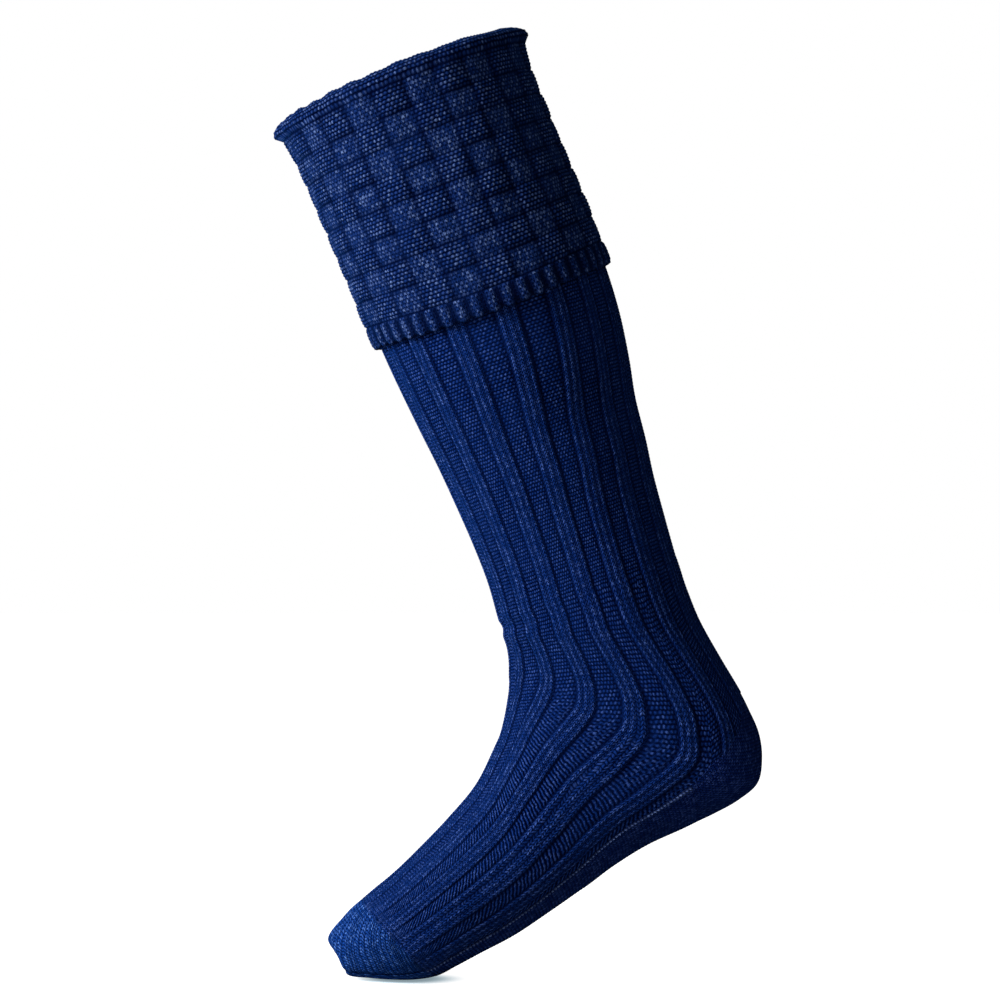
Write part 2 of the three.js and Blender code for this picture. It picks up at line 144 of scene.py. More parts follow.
legBack, legDown = sideways(sock["legLean"]), sideways(sock["legLean"] - 90)
footForward, footUp = sideways(180 + sock["footPitch"]), sideways(90 + sock["footPitch"])
turnAngle = sock["legLean"] + 90 - sock["footPitch"]
bendPoint = legDown * sock["legLength"] - legBack * sock["bendAhead"]
soleStart = bendPoint - footUp * sock["soleReach"]


def legSection(at):
    fullness = follow(legTable, "fullness", at)
    halfDepth = mix(sock["ankleDepth"], sock["calfDepth"], fullness)[:, None] / 2
    centre = legDown * (at * sock["legLength"])[:, None]
    centre = centre + legBack * (follow(legTable, "shift", at) * sock["calfDepth"])[:, None]
    rest = [
        mix(sock["ankleWidth"], sock["calfWidth"], fullness) / 2,
        np.full_like(at, sock["legSquareness"]),
        mix(sock["ankleRibSpan"], sock["calfRibSpan"], fullness),
        mix(sock["ankleCrowding"], sock["calfCrowding"], fullness),
    ]
    return np.column_stack([centre - legBack * halfDepth, centre + legBack * halfDepth] + rest)


def ankleSection(at):
    start = legSection(np.array([1.0]))[0]
    frontStart = np.linalg.norm(start[0:2] - bendPoint)
    backStart = np.linalg.norm(start[2:4] - bendPoint)
    direction = sideways(sock["legLean"] - at * turnAngle)
    frontReach = mix(frontStart, sock["soleReach"] - sock["instepHeight"], at)
    frontReach = frontReach - follow(ankleTable, "hollow", at) * sock["instepHollow"]
    backReach = mix(backStart, sock["soleReach"], at)
    backReach = backReach + follow(ankleTable, "bulge", at) * sock["heelBulge"]
    footing = np.maximum(0, 2 * at - 1)
    width = mix(sock["ankleWidth"], sock["waistWidth"], at)
    rest = [
        mix(width, sock["heelWidth"], follow(ankleTable, "heel", at)) / 2,
        mix(sock["legSquareness"], sock["soleSquareness"], follow(ankleTable, "sole", at)),
        mix(sock["ankleRibSpan"], sock["footRibSpan"], footing),
        mix(sock["ankleCrowding"], sock["footCrowding"], footing),
    ]
    front = bendPoint + direction * frontReach[:, None]
    back = bendPoint + direction * backReach[:, None]
    return np.column_stack([front, back] + rest)


def footSection(at):
    def spot(along, height):
        ahead = footForward * (follow(footTable, along, at) * sock["toeReach"])[:, None]
        return soleStart + ahead + footUp * (follow(footTable, height, at) * sock["instepHeight"])[:, None]

    startShare = footTable["width"][0]
    share = follow(footTable, "width", at)
    ball = (share - startShare) / (1 - startShare)
    narrow = share * sock["waistWidth"] / startShare
    width = np.where(share < startShare, narrow, mix(sock["waistWidth"], sock["footWidth"], ball))
    rest = [
        width / 2,
        np.full_like(at, sock["soleSquareness"]),
        np.full_like(at, sock["footRibSpan"]),
        np.full_like(at, sock["footCrowding"]),
    ]
    return np.column_stack([spot("topAt", "top"), spot("soleAt", "sole")] + rest)


def sectionAt(along):
    # 0 to 1 down the leg, 1 to 2 round the ankle, 2 to 3 along the foot
    section = np.empty((len(along), 8))
    onLeg, onAnkle = along <= 1, (along > 1) & (along <= 2)
    onFoot = along > 2
    if onLeg.any():
        section[onLeg] = legSection(along[onLeg])
    if onAnkle.any():
        section[onAnkle] = ankleSection(along[onAnkle] - 1)
    if onFoot.any():
        section[onFoot] = footSection(np.minimum(along[onFoot] - 2, 1))
    return section


def ribPitch(section):
    halfDepth = np.linalg.norm(section[:, 0:2] - section[:, 2:4], axis=1) / 2
    return 2 * np.pi * np.hypot(halfDepth, section[:, 4]) / math.sqrt(2) / ribCount


def ribAngle(section, rib):
    place = np.where(rib > ribCount / 2, rib - ribCount, rib)
    count = np.abs(place)
    share = count / lastInstepRib
    front = section[:, 6] * (share + section[:, 7] * share * (1 - share))
    behind = (count - lastInstepRib) / (ribCount / 2 - lastInstepRib)
    turn = np.where(count < lastInstepRib, front, mix(section[:, 6], 180, behind))
    return np.radians(turn) * np.sign(place)


def pointOn(section, angle):
    power = np.where(np.cos(angle) > 0, 1, 2 / section[:, 5])

    def rounded(value):
        return np.sign(value) * np.abs(value) ** power

    half = (section[:, 2:4] - section[:, 0:2]) / 2
    side = section[:, 0:2] + half * (1 - rounded(np.cos(angle)))[:, None]
    return np.column_stack([side[:, 0], section[:, 4] * rounded(np.sin(angle)), side[:, 1]])


def bodySurface(rib, along):
    section = sectionAt(along)
    return pointOn(section, ribAngle(section, rib))


def legSurface(angle, along):
    return pointOn(legSection(along), angle)


def standOff(surface, across, along, stand, step=0.002, least=1e-15):
    # points on a surface, moved outwards
    acrossStep = surface(across + step, along) - surface(across - step, along)
    alongStep = surface(across, along + step) - surface(across, along - step)
    normal = np.cross(acrossStep, alongStep)
    normal /= np.maximum(np.linalg.norm(normal, axis=1), least)[:, None]
    return surface(across, along) + normal * stand[:, None]


def placeOf(wale, along):
    # place counted in ribs: ribs keep their width, and the hollows between them stretch
    rib = np.round(wale / walesPerRib)
    away = wale - rib * walesPerRib
    count = np.abs(away)
    halfWidth = sock["ribWidth"] / 2 / ribPitch(sectionAt(along))
    outside = halfWidth + (count - halfRib) / (walesPerRib / 2 - halfRib) * (0.5 - halfWidth)
    return rib + np.sign(away) * np.where(count < halfRib, count / halfRib * halfWidth, outside)


def lengthsDown(points):
    # distance from the first row, down each column of a grid
    steps = np.linalg.norm(np.diff(points, axis=0), axis=2)
    return np.vstack([np.zeros(points.shape[1]), np.cumsum(steps, axis=0)])


def halfCourses(count):
    return np.linspace(0, 1, 2 * count + 1)


def evenCourses(wales, startOf, endOf, shares, samples=120):
    # courses laid at even distances down each wale, between two lines across the wales
    t = np.linspace(0, 1, samples)[:, None]
    ribs = wales[None, :] / walesPerRib
    along = mix(startOf(ribs), endOf(ribs), t)
    flat = along.ravel()
    place = placeOf(np.broadcast_to(wales, along.shape).ravel(), flat)
    lengths = lengthsDown(bodySurface(place, flat).reshape(along.shape + (3,)))
    rows = [np.interp(shares * lengths[-1, n], lengths[:, n], along[:, n]) for n in range(len(wales))]
    return np.array(rows).T, lengths[-1]


def behindLine(line):
    # line across the back of the sock, from the instep's edge to the back line
    def place(ribs):
        count = np.where(ribs > ribCount / 2, ribCount - ribs, ribs)
        behind = np.clip((count - instepEdge) / (ribCount / 2 - instepEdge), 0, 1)
        return 1 + mix(line["side"], line["back"], np.sin(behind * np.pi / 2))

    return place


def levelLine(along):
    def place(ribs):
        return np.full_like(ribs, along, dtype=float)

    return place


# relief of the ribs, by the distance from a rib's middle counted in wales: the height in millimetres, then
# painted shade, darker in the grooves
ribRelief = {
    "at": (0, .5, 1, 1.5, 2, 2.5, 3, 3.5, 4, 5, 6),
    "millimetres": (0, -.28, -.42, -.28, 0, -.75, -1.3, -1.05, -.95, -.9, -.9),
    "paintedShade": (0, .4, .85, .4, 0, .7, 1, .35, .05, 0, 0),
}
ribStitch = {
    "purlFrom": 2.6, "purlFade": 0.3, "purlRise": 0.00024, "purlLevel": 0.4,
    "chainRise": 0.00012, "unevenness": 0.00006,
}
plainStitch = {
    "waleRise": 0.00032, "waleLevel": 0.6, "chainRise": 0.0001, "unevenness": 0.00005, "paintedShade": 0.55,
}
# painted shade on the plain inside of the sock
insideShade = 0.3
slowWave = {"waves": 9, "sway": 1.7, "swayRate": 0.043, "rowRate": 0.11, "rowStart": 0.6}
fineWave = {"share": 0.6, "waves": 25, "rowRate": 0.19}


def peak(count):
    # 1 at whole numbers, 0 halfway between them
    return 0.5 + 0.5 * np.cos(2 * np.pi * count)


def hump(count):
    # 0 at whole numbers, 1 halfway between them
    return 0.5 - 0.5 * np.cos(2 * np.pi * count)


def brickShift(course):
    # every second course lies half a stitch further on
    return 0.5 * (np.floor(course + tiny) % 2)


def wander(wale, course, size, around=ribCount * walesPerRib):
    # slow unevenness of knitting, the same where a row of stitches comes round again
    turn = 2 * np.pi * wale / around
    sway = slowWave["sway"] * np.sin(slowWave["swayRate"] * course)
    down = np.sin(slowWave["rowRate"] * course + slowWave["rowStart"])
    slow = np.sin(slowWave["waves"] * turn + sway) * down
    fine = np.sin(fineWave["waves"] * turn - fineWave["rowRate"] * course)
    return size * (slow + fineWave["share"] * fine)


def ribKnit(wale, course, cell):
    away = np.abs((wale + walesPerRib / 2) % walesPerRib - walesPerRib / 2)
    purl = np.clip((away - ribStitch["purlFrom"]) / ribStitch["purlFade"], 0, 1)
    dot = peak(wale - brickShift(course)) * hump(course)
    purlRise = purl * ribStitch["purlRise"] * (dot - ribStitch["purlLevel"]) * cell
    chainRise = (1 - purl) * ribStitch["chainRise"] * (hump(course) - 1) * cell
    height = np.interp(away, ribRelief["at"], ribRelief["millimetres"]) * millimetre
    return {
        "stand": height + (purlRise + chainRise) + wander(wale, course, ribStitch["unevenness"]),
        # painted shade in the rib's grooves
        "paintedShade": np.interp(away, ribRelief["at"], ribRelief["paintedShade"]),
        "purl": purl,
    }


def plainKnit(wale, course, cell):
    ridge = peak(wale)
    level = sock["plainRise"] - sock["ribRise"]
    waleRise = plainStitch["waleRise"] * (ridge - plainStitch["waleLevel"]) * cell
    chainRise = plainStitch["chainRise"] * (hump(course) - 1) * cell
    return {
        "stand": level + waleRise + chainRise + wander(wale, course, plainStitch["unevenness"]),
        # painted shade between the wales
        "paintedShade": plainStitch["paintedShade"] * (1 - ridge),
        "purl": np.zeros_like(wale),
    }


def sockGrid(name, place, attributes):
    # a grid, moved point by point to its place on the leg, with its stitches counted in its UV map
    rows, columns = place.shape[:2]
    bpy.ops.object.select_all(action="DESELECT")
    bpy.ops.mesh.primitive_grid_add(x_subdivisions=columns - 1, y_subdivisions=rows - 1, size=1)
    piece = bpy.context.object
    piece.name = name
    mesh = piece.data
    assert len(mesh.vertices) == rows * columns
    flat = np.empty(rows * columns * 3, np.float32)
    mesh.vertices.foreach_get("co", flat)
    flat = flat.reshape(-1, 3)
    column = np.rint((flat[:, 0] + 0.5) * (columns - 1)).astype(int)
    row = np.rint((flat[:, 1] + 0.5) * (rows - 1)).astype(int)
    mesh.vertices.foreach_set("co", place[row, column].astype(np.float32).ravel())
    corner = np.empty(len(mesh.loops), np.int32)
    mesh.loops.foreach_get("vertex_index", corner)
    stitches = mesh.uv_layers.active
    stitches.name = "stitches"
    uv = np.column_stack([attributes["wale"][row, column], attributes["course"][row, column]])[corner]
    stitches.uv.foreach_set("vector", uv.astype(np.float32).ravel())
    for key in ("paintedShade", "purl", "hatch", "chainHighlight"):
        layer = mesh.attributes.new(key, "FLOAT", "POINT")
        values = attributes.get(key, np.zeros((rows, columns)))
        layer.data.foreach_set("value", values[row, column].astype(np.float32).ravel())
    mesh.update()
    return piece


def closeUp(piece, others=(), mergeWithin=2e-6, sharpAngle=70):
    # joins a piece's grids, merges their shared edges and closes their ends
    bpy.ops.object.select_all(action="DESELECT")
    for each in (piece, *others):
        each.select_set(True)
    bpy.context.view_layer.objects.active = piece
    if others:
        bpy.ops.object.join()
    bpy.ops.object.mode_set(mode="EDIT")
    bpy.ops.mesh.select_all(action="SELECT")
    bpy.ops.mesh.remove_doubles(threshold=mergeWithin)
    bpy.ops.mesh.select_all(action="SELECT")
    bpy.ops.mesh.fill_holes(sides=0)
    bpy.ops.mesh.normals_make_consistent(inside=False)
    bpy.ops.mesh.select_all(action="DESELECT")
    bpy.ops.object.mode_set(mode="OBJECT")
    bpy.ops.object.shade_smooth_by_angle(angle=math.radians(sharpAngle))
    return piece


def layFabric(name, wale, along, course, inner, knit, cell=None, hatch=None):
    shape = wale.shape
    if cell is None:
        cell = np.ones(shape)
    relief = knit(wale.ravel(), course.ravel(), cell.ravel())
    stand = np.where(inner.ravel(), -insideDepth, relief["stand"])
    place = placeOf(wale.ravel(), along.ravel())
    points = standOff(bodySurface, place, along.ravel(), stand).reshape(shape + (3,))
    attributes = {key: values.reshape(shape) for key, values in relief.items() if key != "stand"}
    # painted shade on the inside rows
    attributes["paintedShade"] = np.where(inner, insideShade, attributes["paintedShade"])
    attributes["purl"] = np.where(inner, 1 - attributes["purl"], attributes["purl"])
    if "chainHighlight" in attributes:
        attributes["chainHighlight"] = np.where(inner, 0, attributes["chainHighlight"])
    if hatch is not None:
        attributes["hatch"] = hatch
    attributes.update(wale=wale, course=course)
    return sockGrid(name, points, attributes)


def wrapStrip(wales, shares, startOf, endOf):
    # columns of the outside, then fewer columns back along the inside
    inside = np.arange(wales[-1], wales[0] - tiny, -liningStep)
    across = np.concatenate([wales, inside, wales[:1]])
    isInside = np.concatenate([np.zeros(len(wales), bool), np.ones(len(inside), bool), [False]])
    along, lengths = evenCourses(across, startOf, endOf, shares)
    along = np.vstack([along[:1], along, along[-1:]])
    end = np.ones(len(across), bool)
    inner = np.vstack([end, np.tile(isInside, (len(shares), 1)), end])
    wale = np.tile(across, (len(along), 1))
    return wale, along, inner, lengths


def stripCourses(first, count, shares, columns):
    # number of the course in each row of a strip, and in the rows that close its ends
    courses = first + count * np.concatenate([[0], shares, [1]])
    return np.tile(courses[:, None], (1, columns))


frontWales = np.arange(-edgeWale, edgeWale + endGuard, stitchStep)
behindWales = np.arange(edgeWale, 2 * backWale - edgeWale + endGuard, stitchStep)

# leg: a ribbed tube from the cuff's fold to the ankle, and its back down to the heel
leg = {
    "topCourse": 0.0064, "hiddenTo": 0.120, "hiddenCourses": 12, "courses": 92, "backCourses": 47,
    "backStart": 1.0002, "insideRows": 12, "rimArch": 0.0015, "rimRise": 0.0045, "rimFade": 0.2,
}


def rimLevel(angle):
    return -leg["rimArch"] * np.sin(angle) ** 2 - leg["rimRise"] * (1 - np.cos(angle)) / 2


def makeTube():
    length = sock["legLength"]
    hidden = np.linspace(leg["topCourse"], leg["hiddenTo"], leg["hiddenCourses"], endpoint=False)
    shown = np.linspace(leg["hiddenTo"], length, 2 * leg["courses"] + 1)
    inside = np.linspace(length, leg["topCourse"], leg["insideRows"] + 1)
    down = np.concatenate([hidden, shown, inside, hidden[:1]]) / length
    outside = np.zeros(len(hidden) + len(shown), bool)
    isInside = np.concatenate([outside, np.ones(len(inside), bool), [False]])
    course = [np.zeros(len(hidden)), np.arange(len(shown)) / 2, inside / courseHeight, [0]]
    across = np.arange(-backWale, backWale + endGuard, stitchStep)
    wale, along = np.meshgrid(across, down)
    angle = ribAngle(sectionAt(along.ravel()), placeOf(wale.ravel(), along.ravel())).reshape(wale.shape)
    top = leg["topCourse"] / length
    along = along + rimLevel(angle) / length * np.clip(1 - (along - top) / leg["rimFade"], 0, 1)
    courses = np.tile(np.concatenate(course)[:, None], (1, len(across)))
    inner = np.tile(isInside[:, None], (1, len(across)))
    return layFabric("leg_knit", wale, along, courses, inner, ribKnit)


def makeLegBack():
    shares = halfCourses(leg["backCourses"])
    wale, along, inner = wrapStrip(behindWales, shares, levelLine(leg["backStart"]), behindLine(legEnd))[:3]
    courses = stripCourses(leg["courses"], leg["backCourses"], shares, wale.shape[1])
    return layFabric("leg_back", wale, along, courses, inner, ribKnit)


tube = makeTube()
legPiece = closeUp(tube, [makeLegBack()])
print("leg:", len(legPiece.data.polygons), "faces")

# instep: ribs run on over the ankle and the top of the foot, and sink into the toe's plain knitting
instep = {
    "courses": 105, "startCourse": leg["courses"], "fadeCourses": 6, "flattest": 0.3,
    "hatchFrom": 1.45, "hatchFade": 0.4, "hatchWale": 14, "hatchSpread": 14,
}


def instepKnit(wale, course, cell):
    ribbed, plain = ribKnit(wale, course, cell), plainKnit(wale, course, cell)
    share = np.clip((instep["startCourse"] + instep["courses"] - course) / instep["fadeCourses"], 0, 1)
    return {key: mix(plain[key], ribbed[key], share) for key in ribbed}


def makeInstep():
    shares = halfCourses(instep["courses"])
    wale, along, inner, lengths = wrapStrip(frontWales, shares, levelLine(1.0), levelLine(toeStart))
    cell = np.clip(lengths / instep["courses"] / courseHeight, instep["flattest"], 1)
    cell = np.tile(cell, (len(wale), 1))
    courses = stripCourses(instep["startCourse"], instep["courses"], shares, wale.shape[1])
    hatchDown = np.clip((along - instep["hatchFrom"]) / instep["hatchFade"], 0, 1)
    hatchAcross = np.clip((np.abs(wale) - instep["hatchWale"]) / instep["hatchSpread"], 0, 1)
    hatch = hatchDown * hatchAcross
    return closeUp(layFabric("instep_knit", wale, along, courses, inner, instepKnit, cell, hatch))


instepPiece = makeInstep()
print("instep:", len(instepPiece.data.polygons), "faces")

# heel: short courses that close to a point at each side
heel = {"courses": 47, "fullFrom": 1.3}


def heelKnit(wale, course, cell):
    # its courses crowd together at the sides, so its relief has wales alone
    return plainKnit(wale, course * 0, cell)


def makeHeel():
    shares = halfCourses(heel["courses"])
    wale, along, inner, lengths = wrapStrip(behindWales, shares, behindLine(legEnd), behindLine(heelEnd))
    courses = stripCourses(-0.5, 1, shares, wale.shape[1]) * lengths / courseHeight
    cell = np.clip(lengths / lengths.max() * heel["fullFrom"], 0, 1)
    cell = np.tile(cell, (len(wale), 1))
    return closeUp(layFabric("heel_knit", wale, along, courses, inner, heelKnit, cell))


heelPiece = makeHeel()
print("heel:", len(heelPiece.data.polygons), "faces")

# sole: plain, with a raised chain where it meets the instep, its beads lit by painted highlight
sole = {
    "courses": 85, "chainRise": 0.0009, "chainWale": 1, "chainWidth": 0.45, "beadBase": 0.3,
    "edgeWales": 0.6, "edgeShade": 0.5,
}


def soleKnit(wale, course, cell):
    relief = plainKnit(wale, course, cell)
    fromEdge = np.minimum(wale - edgeWale, 2 * backWale - edgeWale - wale)
    chain = np.exp(-((fromEdge - sole["chainWale"]) / sole["chainWidth"]) ** 2)
    beads = hump(course)
    # painted shade along the sole's edge, and none on the chain
    edge = sole["edgeShade"] * (fromEdge < sole["edgeWales"])
    relief["stand"] = relief["stand"] + sole["chainRise"] * chain * mix(sole["beadBase"], 1, beads)
    relief["paintedShade"] = np.clip(relief["paintedShade"] + edge, 0, 1) * (1 - chain)
    # painted highlight on the chain's beads
    relief["chainHighlight"] = chain * beads
    return relief


def makeSole():
    shares = halfCourses(sole["courses"])
    wale, along, inner = wrapStrip(behindWales, shares, behindLine(heelEnd), levelLine(toeStart))[:3]
    courses = stripCourses(0, sole["courses"], shares, wale.shape[1])
    return closeUp(layFabric("sole_knit", wale, along, courses, inner, soleKnit))


solePiece = makeSole()
print("sole:", len(solePiece.data.polygons), "faces")

# toe: wales run on from the instep, over the tip, and meet the sole's under a crease
toe = {
    "topCourses": 30, "underCourses": 26, "creaseDepth": 0.0004, "creaseRise": 0.0002,
    "creaseWidth": 0.05, "lipPlace": 0.09, "creaseShade": 0.35, "waleShare": 0.5, "waleDepth": 1.4,
    "fullWale": 0.0004, "grooveShade": 1.4, "smoothTip": 0.4, "tipLeast": 0.15, "probe": 0.004,
    "reachFrom": 2.5, "reachRows": 240, "underSamples": 400, "liningColumns": 45, "liningRows": 25,
    "liningCourses": 30,
}


def toeReachTable():
    # share of the way from the tip to the toe's start, by place along the foot
    along = np.linspace(toe["reachFrom"], 3.0, toe["reachRows"])
    ribs = np.linspace(0.5 - ribCount / 2, ribCount / 2, 2 * ribCount)
    grid = bodySurface(np.tile(ribs, len(along)), np.repeat(along, len(ribs)))
    grid = grid.reshape(len(along), len(ribs), 3)
    lengths = np.linalg.norm(np.diff(grid, axis=0), axis=2).mean(axis=1)
    fromTip = np.concatenate([np.cumsum(lengths[::-1])[::-1], [0]])
    return fromTip / np.interp(toeStart, along, fromTip), along


toeRadii, toeAlong = toeReachTable()


def toeSurface(acrossToe, downToe):
    # a disc laid over the toe: its centre is the tip, and its rim the toe's start
    radius = np.hypot(acrossToe, downToe)
    turn = np.arctan2(acrossToe, downToe)
    along = np.interp(radius, toeRadii[::-1], toeAlong[::-1])
    quarter = np.abs(turn) / (np.pi / 2)
    under = instepEdge + (quarter - 1) * (ribCount / 2 - instepEdge)
    rib = np.where(quarter < 1, quarter * instepEdge, under)
    return bodySurface(rib * np.sign(turn), along)


def toeWales():
    # place across the disc of each wale of the instep, and the sole's wale that it meets
    ribs = placeOf(frontWales, np.full_like(frontWales, toeStart))
    across = np.sin(np.pi / 2 * np.clip(ribs / instepEdge, -1, 1))
    across[0], across[-1] = -1, 1
    fineWales = np.linspace(edgeWale, backWale, toe["underSamples"])
    fineRibs = placeOf(fineWales, np.full_like(fineWales, toeStart))
    underRib = ribCount / 2 - (ribCount / 2 - instepEdge) * np.abs(ribs) / instepEdge
    under = np.interp(underRib, fineRibs, fineWales)
    return across, np.where(frontWales < 0, 2 * backWale - under, under)


toeAcross, toeUnderWales = toeWales()
toeReach = np.sqrt(np.maximum(0, 1 - toeAcross ** 2))


def toeHalf(name, count, isUnder):
    shares = halfCourses(count)
    fromEdge = shares if isUnder else 1 - shares
    down = (-1 if isUnder else 1) * fromEdge[:, None] * toeReach[None, :]
    across = np.tile(toeAcross, (len(shares), 1))
    wale = np.tile(toeUnderWales if isUnder else frontWales, (len(shares), 1)) * toe["waleShare"]
    bare = toeSurface(across.ravel(), down.ravel()).reshape(down.shape + (3,))
    course = lengthsDown(bare) / courseHeight + (0 if isUnder else instep["courses"] + instep["startCourse"])

    # relief fades where the wales crowd together, towards the sides and the tip
    apart = np.linalg.norm(np.gradient(bare, axis=1), axis=2)
    fromTip = np.clip(np.hypot(across, down) / toe["smoothTip"], toe["tipLeast"], 1)
    cell = np.clip(apart / toe["fullWale"], 0, 1) * toe["waleDepth"] * fromTip
    relief = plainKnit(wale.ravel(), np.zeros(wale.size), cell.ravel())
    crease = np.exp(-(down / toe["creaseWidth"]) ** 2)
    stand = relief["stand"].reshape(down.shape) - toe["creaseDepth"] * crease
    if not isUnder:
        stand = stand + toe["creaseRise"] * np.exp(-((down - toe["lipPlace"]) / toe["creaseWidth"]) ** 2)
    points = standOff(toeSurface, across.ravel(), down.ravel(), -stand.ravel(), toe["probe"])
    points = points.reshape(down.shape + (3,))
    # painted shade in the wale grooves and along the crease
    paintedShade = toe["grooveShade"] * relief["paintedShade"].reshape(down.shape) + toe["creaseShade"] * crease
    paintedShade = np.clip(paintedShade, 0, 1)

    # one more row turns in at the toe's start, to meet the lining
    rim = -1 if isUnder else 0
    depth = np.full(len(toeAcross), insideDepth)
    wall = standOff(toeSurface, across[rim], down[rim], depth, toe["probe"])[None]
    grids = []
    for grid, edge in ((points, wall), (wale, wale[[rim]]), (course, course[[rim]]), (paintedShade, paintedShade[[rim]])):
        grids.append(np.vstack([grid, edge] if isUnder else [edge, grid]))
    return sockGrid(name, grids[0], {"wale": grids[1], "course": grids[2], "paintedShade": grids[3]})


def toeLining(name):
    pick = np.linspace(0, len(frontWales) - 1, toe["liningColumns"]).astype(int)[::-1]
    rows = toe["liningRows"]
    across = np.tile(toeAcross[pick], (rows, 1))
    down = np.linspace(1, -1, rows)[:, None] * toeReach[pick][None, :]
    depth = np.full(down.size, insideDepth)
    points = standOff(toeSurface, across.ravel(), down.ravel(), depth, toe["probe"])
    attributes = {
        "wale": np.tile(frontWales[pick], (rows, 1)),
        "course": down * toe["liningCourses"],
        "paintedShade": np.full_like(down, insideShade),
    }
    return sockGrid(name, points.reshape(down.shape + (3,)), attributes)


toeTop = toeHalf("toe_knit", toe["topCourses"], False)
toeUnder = toeHalf("toe_under", toe["underCourses"], True)
toePiece = closeUp(toeTop, [toeUnder, toeLining("toe_lining")])
print("toe:", len(toePiece.data.polygons), "faces")

# cuff: a closed fold of basket knitting over the top of the leg
cuff = {
    "height": 0.133, "wall": 0.0034, "clearance": 0.0006, "hemDrop": 0.0053, "hemBand": 0.012,
    "foldDepth": 0.009, "foldRows": 18, "foldEar": 0.0042, "earHeight": 0.011, "earSharpness": 16,
    "foldRoll": 0.0011, "rollCourses": 2, "foldBump": 0.0007, "foldShade": 0.15,
    "blockColumns": 24, "blockRows": 8, "blockWales": 7, "blockCourses": 7, "blockSoft": 0.8,
    "blockRise": 0.0006, "pinch": 0.0021, "pinchLevel": 0.7, "pinchShare": 0.35, "pinchPower": 0.5,
    "purlRise": 0.00045, "purlLevel": 0.4, "knitRise": 0.0003, "knitLevel": 0.6,
    "purlShare": 0.8, "purlSwing": 0.2, "purlSharpness": 3, "unevenness": 0.0004,
    "hemCourses": 6, "hemRibs": 48, "hemRelief": 0.0006, "hemFadeIn": 3, "hemSink": 0.0005,
    "hemStitch": 0.0001, "hemRound": 0.0008, "hemRoundFrom": 0.8, "scallop": 0.0007,
    "insideRows": 5,
}
foldTable = {
    "at": (0, 1, 2, 3, 4, 5, 6),
    "drop": (1, .42, .10, 0, .05, .25, .62),
    "stand": (-1, -.90, -.45, .10, .55, .90, 1),
}
lumps = {"waves": 21, "beat": 10, "beatStart": 0.9, "fineWaves": 30, "fineShare": 0.5}
hemTurn = {"drop": (0.0004, 0.0002, -0.0012), "thickness": (0.55, 0.15, 0.0), "sink": 0.0013, "paintedShade": 0.6}
blockShade = {"end": 1.2, "endFrom": 1.3, "endLevel": 0.75, "endLeast": 0.3, "side": 0.8, "sideFrom": 1.4}
hemShade = {"level": 0.5, "swing": 0.8}

cuffWales = cuff["blockColumns"] * cuff["blockWales"]
cuffCourses = cuff["blockRows"] * cuff["blockCourses"]
cuffAcross = np.arange(0, cuffWales + endGuard, stitchStep)
cuffStitch = cuffAcross - 0.5
cuffAngle = 2 * np.pi * cuffAcross / cuffWales
cuffOutside = cuff["clearance"] + cuff["wall"]
rim = rimLevel(cuffAngle)
hem = cuff["height"] + cuff["hemDrop"] * np.sin(cuffAngle) ** 2
ear = cuff["foldEar"] * np.abs(np.cos(cuffAngle)) ** cuff["earSharpness"]
hemWave = np.cos(2 * np.pi * cuff["hemRibs"] * cuffAcross / cuffWales)


def checked(count, length):
    # 1 in one block, -1 in the next, with a soft step between them
    place = (count / length) % 2
    edge = np.minimum(np.abs(place - np.round(place)), 0.5) * length
    return np.where(place < 1, 1, -1) * np.clip(edge / cuff["blockSoft"], 0, 1)


def cuffStitches(course, isPurl):
    dot = peak(cuffStitch - brickShift(course)) * hump(course)
    purlRise = isPurl * cuff["purlRise"] * (dot - cuff["purlLevel"])
    return purlRise + (1 - isPurl) * cuff["knitRise"] * (peak(cuffStitch) - cuff["knitLevel"])


# each of these four gives rows of distance down the leg, stand, course, painted shade and purl
def foldRows():
    beat = np.sin(lumps["waves"] * cuffAngle) * np.sin(lumps["beat"] * cuffAngle + lumps["beatStart"])
    lumpy = beat + lumps["fineShare"] * np.sin(lumps["fineWaves"] * cuffAngle)
    roll = cuff["foldRoll"] + cuff["foldBump"] * lumpy
    rows = []
    for n in range(cuff["foldRows"] + 1):
        t = np.array([foldTable["at"][-1] * n / cuff["foldRows"]])
        drop = follow(foldTable, "drop", t)[0]
        share = follow(foldTable, "stand", t)[0]
        course = (n - cuff["foldRows"]) / 2 - 1
        bump = cuffStitches(course, 1.0)
        stand = share * (cuffOutside + ear + roll) if share > 0 else share * insideDepth
        down = rim + drop * cuff["foldDepth"] - (bump + roll) * (1 - abs(share))
        # painted shade over the fold
        rows.append((down, stand + bump * share, course, cuff["foldShade"], 1))
    return rows


